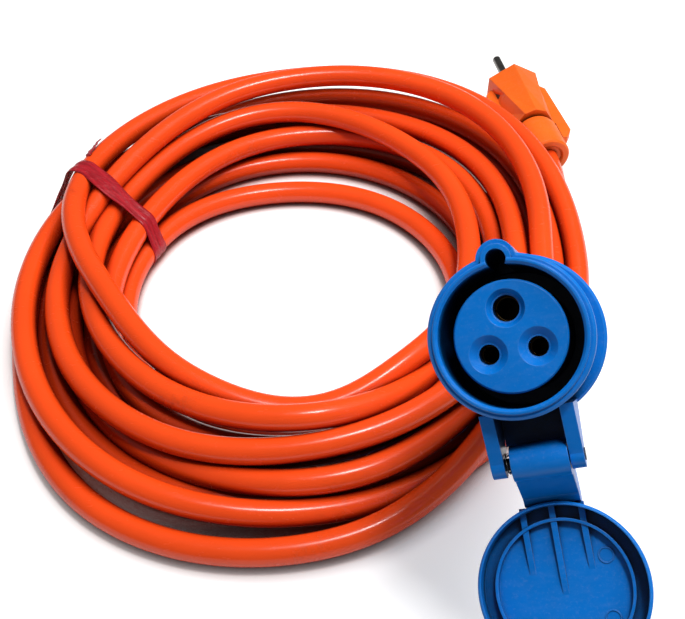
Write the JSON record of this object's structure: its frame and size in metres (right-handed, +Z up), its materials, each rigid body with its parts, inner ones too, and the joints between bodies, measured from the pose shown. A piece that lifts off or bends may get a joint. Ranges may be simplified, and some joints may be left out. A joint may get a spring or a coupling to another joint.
{
  "type": "shore power cord",
  "caption": "Coiled orange three-core shore power cord with a blue pin-and-sleeve connector under an open hinged lid, an earthed plug and a red tie.",
  "frame": {"origin": "on the floor under the middle of the part's box", "axes": "+Z up, +Y along the box's longest side, from the connector towards the plug"},
  "size_m": [0.2895, 0.4005, 0.1538],
  "materials": {
    "blue_plastic": "moulded, smooth gloss",
    "brass": "drawn, bright",
    "steel": "zinc plated",
    "black_rubber": "moulded, matt",
    "green_core": "extruded",
    "brown_core": "extruded",
    "blue_core": "extruded",
    "orange_sheath": "extruded sheath, satin",
    "red_tie": "soft film, glossy",
    "orange_plug": "moulded over the pins, matt",
    "dark_plastic": "moulded",
    "plated_pin": "nickel plated",
    "spring_steel": "dark oxide"
  },
  "bodies": {
    "cord": {"front_shell": "blue_plastic", "contact_carrier": "blue_plastic", "contact_earth": "brass", "contact_line": "brass", "contact_neutral": "brass", "terminal_screws": "steel", "rear_shell": "blue_plastic", "shell_screws": "steel", "gland_nut": "blue_plastic", "gland_seal": "black_rubber", "hinge_pin": "steel", "lid_spring": "steel", "core_earth": "green_core", "core_line": "brown_core", "core_neutral": "blue_core", "connector_lead": "orange_sheath", "cord_coil": "orange_sheath", "plug_lead": "orange_sheath", "coil_tie": "red_tie", "plug_body": "orange_plug", "plug_bridge": "dark_plastic", "plug_pin_line": "plated_pin", "plug_pin_neutral": "plated_pin", "plug_earth_clips": "spring_steel", "plug_earth_socket": "brass", "plug_strain_relief": "orange_plug", "plug_core_earth": "green_core", "plug_core_line": "brown_core", "plug_core_neutral": "blue_core"},
    "lid": {"lid": "blue_plastic"}
  },
  "joints": [
    {"name": "lid_hinge", "type": "hinge", "parent": "cord", "child": "lid", "pos_m": [0.07774, -0.14097, 0.10103], "axis": [-0.9465, 0.0387, -0.3203], "range_deg": [0, 169]}
  ]
}
